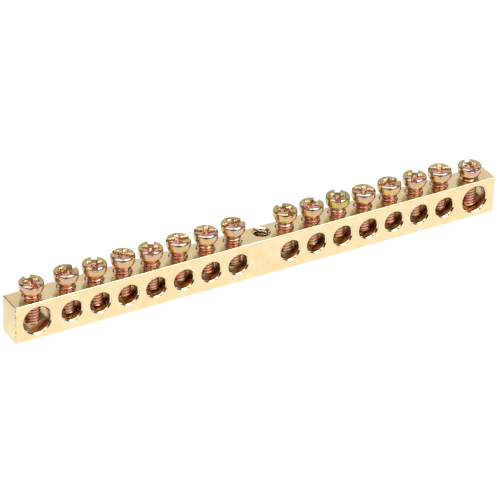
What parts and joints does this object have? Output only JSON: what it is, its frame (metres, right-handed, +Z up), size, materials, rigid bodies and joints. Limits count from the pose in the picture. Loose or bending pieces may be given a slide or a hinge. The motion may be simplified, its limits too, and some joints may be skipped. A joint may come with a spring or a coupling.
{
  "type": "earth terminal bar",
  "caption": "Cross-drilled brass earth bar with a row of slotted cross-head clamping screws over its conductor holes and a tapped fixing hole in the middle.",
  "frame": {"origin": "middle of the bar's foot", "axes": "+X along the bar, the conductors go in along Y, +Z up towards the screws' heads"},
  "size_m": [0.1216, 0.006, 0.0138],
  "materials": {
    "brass": "satin, as drawn, with bright drilled bevels",
    "passivated_steel": "zinc plated and yellow passivated, iridescent pink to yellow"
  },
  "bodies": {
    "bar": {"bar": "brass"},
    "screw_01": {"terminal_screw_01": "passivated_steel"},
    "screw_02": {"terminal_screw_02": "passivated_steel"},
    "screw_03": {"terminal_screw_03": "passivated_steel"},
    "screw_04": {"terminal_screw_04": "passivated_steel"},
    "screw_05": {"terminal_screw_05": "passivated_steel"},
    "screw_06": {"terminal_screw_06": "passivated_steel"},
    "screw_07": {"terminal_screw_07": "passivated_steel"},
    "screw_08": {"terminal_screw_08": "passivated_steel"},
    "screw_09": {"terminal_screw_09": "passivated_steel"},
    "screw_10": {"terminal_screw_10": "passivated_steel"},
    "screw_11": {"terminal_screw_11": "passivated_steel"},
    "screw_12": {"terminal_screw_12": "passivated_steel"},
    "screw_13": {"terminal_screw_13": "passivated_steel"},
    "screw_14": {"terminal_screw_14": "passivated_steel"},
    "screw_15": {"terminal_screw_15": "passivated_steel"},
    "screw_16": {"terminal_screw_16": "passivated_steel"}
  },
  "joints": [
    {"name": "screw_01_travel", "type": "slide", "parent": "bar", "child": "screw_01", "axis": [0, 0, 1], "range_m": [-0.00065, 0.0054]},
    {"name": "screw_02_travel", "type": "slide", "parent": "bar", "child": "screw_02", "axis": [0, 0, 1], "range_m": [-0.00005, 0.00421]},
    {"name": "screw_03_travel", "type": "slide", "parent": "bar", "child": "screw_03", "axis": [0, 0, 1], "range_m": [0, 0.00426]},
    {"name": "screw_04_travel", "type": "slide", "parent": "bar", "child": "screw_04", "axis": [0, 0, 1], "range_m": [-0.0003, 0.00396]},
    {"name": "screw_05_travel", "type": "slide", "parent": "bar", "child": "screw_05", "axis": [0, 0, 1], "range_m": [-0.0001, 0.00416]},
    {"name": "screw_06_travel", "type": "slide", "parent": "bar", "child": "screw_06", "axis": [0, 0, 1], "range_m": [-0.0003, 0.00396]},
    {"name": "screw_07_travel", "type": "slide", "parent": "bar", "child": "screw_07", "axis": [0, 0, 1], "range_m": [-0.00045, 0.00381]},
    {"name": "screw_08_travel", "type": "slide", "parent": "bar", "child": "screw_08", "axis": [0, 0, 1], "range_m": [-0.00065, 0.00361]},
    {"name": "screw_09_travel", "type": "slide", "parent": "bar", "child": "screw_09", "axis": [0, 0, 1], "range_m": [-0.0006, 0.00366]},
    {"name": "screw_10_travel", "type": "slide", "parent": "bar", "child": "screw_10", "axis": [0, 0, 1], "range_m": [-0.00025, 0.00401]},
    {"name": "screw_11_travel", "type": "slide", "parent": "bar", "child": "screw_11", "axis": [0, 0, 1], "range_m": [-0.0005, 0.00376]},
    {"name": "screw_12_travel", "type": "slide", "parent": "bar", "child": "screw_12", "axis": [0, 0, 1], "range_m": [-0.0001, 0.00416]},
    {"name": "screw_13_travel", "type": "slide", "parent": "bar", "child": "screw_13", "axis": [0, 0, 1], "range_m": [-0.0003, 0.00396]},
    {"name": "screw_14_travel", "type": "slide", "parent": "bar", "child": "screw_14", "axis": [0, 0, 1], "range_m": [-0.0003, 0.00396]},
    {"name": "screw_15_travel", "type": "slide", "parent": "bar", "child": "screw_15", "axis": [0, 0, 1], "range_m": [-0.00015, 0.00411]},
    {"name": "screw_16_travel", "type": "slide", "parent": "bar", "child": "screw_16", "axis": [0, 0, 1], "range_m": [-0.0001, 0.00595]}
  ]
}
